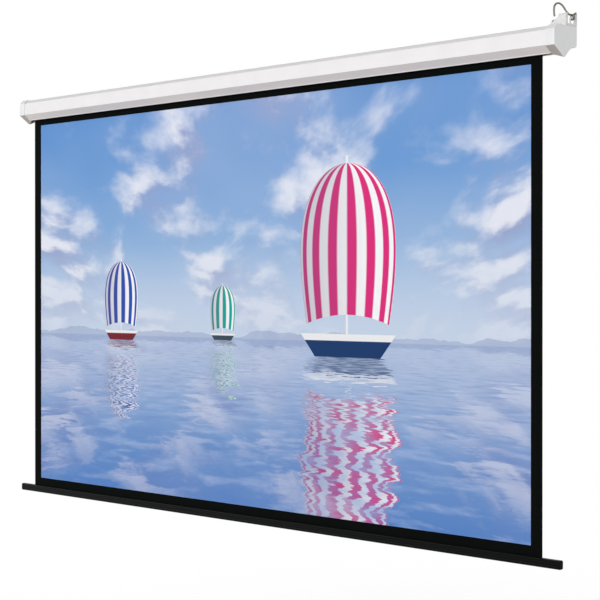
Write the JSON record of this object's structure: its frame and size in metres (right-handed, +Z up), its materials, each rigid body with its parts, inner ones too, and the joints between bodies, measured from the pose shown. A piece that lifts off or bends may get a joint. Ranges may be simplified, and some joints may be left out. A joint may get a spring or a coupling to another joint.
{
  "type": "wall projection screen",
  "caption": "Motorised roller projection screen in a white wall case with moulded end caps, black-bordered fabric, weighted bottom bar and a wire hanging hook.",
  "frame": {"origin": "on the wall plane, halfway between the two keyholes in the back of the case, at the height of the wall screws", "axes": "+X along the case to the viewer's right, +Y into the wall, +Z up"},
  "size_m": [2.4411, 0.094, 1.4549],
  "materials": {
    "case_paint": "white satin powder coat",
    "cap_plastic": "white moulded, fine texture",
    "bracket_paint": "white powder coat",
    "zinc_steel": "zinc plated",
    "black_steel": "black oxide",
    "hook_wire": "dull grey drawn wire",
    "tube_aluminium": "mill",
    "motor_steel": "drawn tube",
    "black_plastic": "black moulded",
    "nylon": "natural nylon",
    "red_plastic": "red moulded",
    "picture_fabric": null,
    "border_black": "matt black masking and backing",
    "bar_black": "black satin extrusion"
  },
  "bodies": {
    "case": {"case_shell": "case_paint", "end_cap_left": "cap_plastic", "end_cap_right": "cap_plastic", "cap_screw_left": "zinc_steel", "cap_screw_right": "zinc_steel", "motor_plate": "zinc_steel", "motor_plate_screw_1": "zinc_steel", "motor_plate_screw_2": "zinc_steel", "motor_plate_screw_3": "zinc_steel", "idler_plate": "zinc_steel", "idler_plate_screw_1": "zinc_steel", "idler_plate_screw_2": "zinc_steel", "idler_plate_screw_3": "zinc_steel", "keyhole_plate_left": "zinc_steel", "keyhole_plate_right": "zinc_steel", "keyhole_rivet_left_1": "zinc_steel", "keyhole_rivet_left_2": "zinc_steel", "keyhole_rivet_right_1": "zinc_steel", "keyhole_rivet_right_2": "zinc_steel", "hanger_bracket": "bracket_paint", "hanger_screw_front": "black_steel", "hanger_screw_1": "zinc_steel", "hanger_screw_2": "zinc_steel", "motor_head": "black_plastic", "limit_screw_1": "red_plastic", "limit_screw_2": "red_plastic", "motor_tube": "motor_steel", "idler_bush": "nylon", "cable_gland": "black_plastic", "projection_fabric": "picture_fabric", "black_masking": "border_black"},
    "roller": {"roller_tube": "tube_aluminium", "drive_crown": "black_plastic", "limit_crown": "black_plastic", "motor_shaft": "zinc_steel", "idler_plug": "nylon", "idler_axle": "zinc_steel", "wound_fabric": "border_black"},
    "bottom_bar": {"bottom_bar": "bar_black", "bar_plug_left": "black_plastic", "bar_plug_right": "black_plastic", "fabric_rod": "nylon"},
    "hook": {"wire_hook": "hook_wire"}
  },
  "joints": [
    {"name": "bar_lift", "type": "slide", "parent": "case", "child": "bottom_bar", "axis": [0, 0, 1], "range_m": [0, 1.278], "deforming": ["projection_fabric", "black_masking"]},
    {"name": "roller_spin", "type": "hinge", "parent": "case", "child": "roller", "pos_m": [0, -0.03275, -0.006], "axis": [1, 0, 0], "range_deg": [-3172, 0]},
    {"name": "hook_swing", "type": "hinge", "parent": "case", "child": "hook", "pos_m": [1.212, -0.019, 0.037], "axis": [1, 0, 0], "range_deg": [-12, 30]}
  ],
  "couplings": [
    {"joint": "roller_spin", "follows": "bar_lift", "rad_per_m": -43.3}
  ]
}
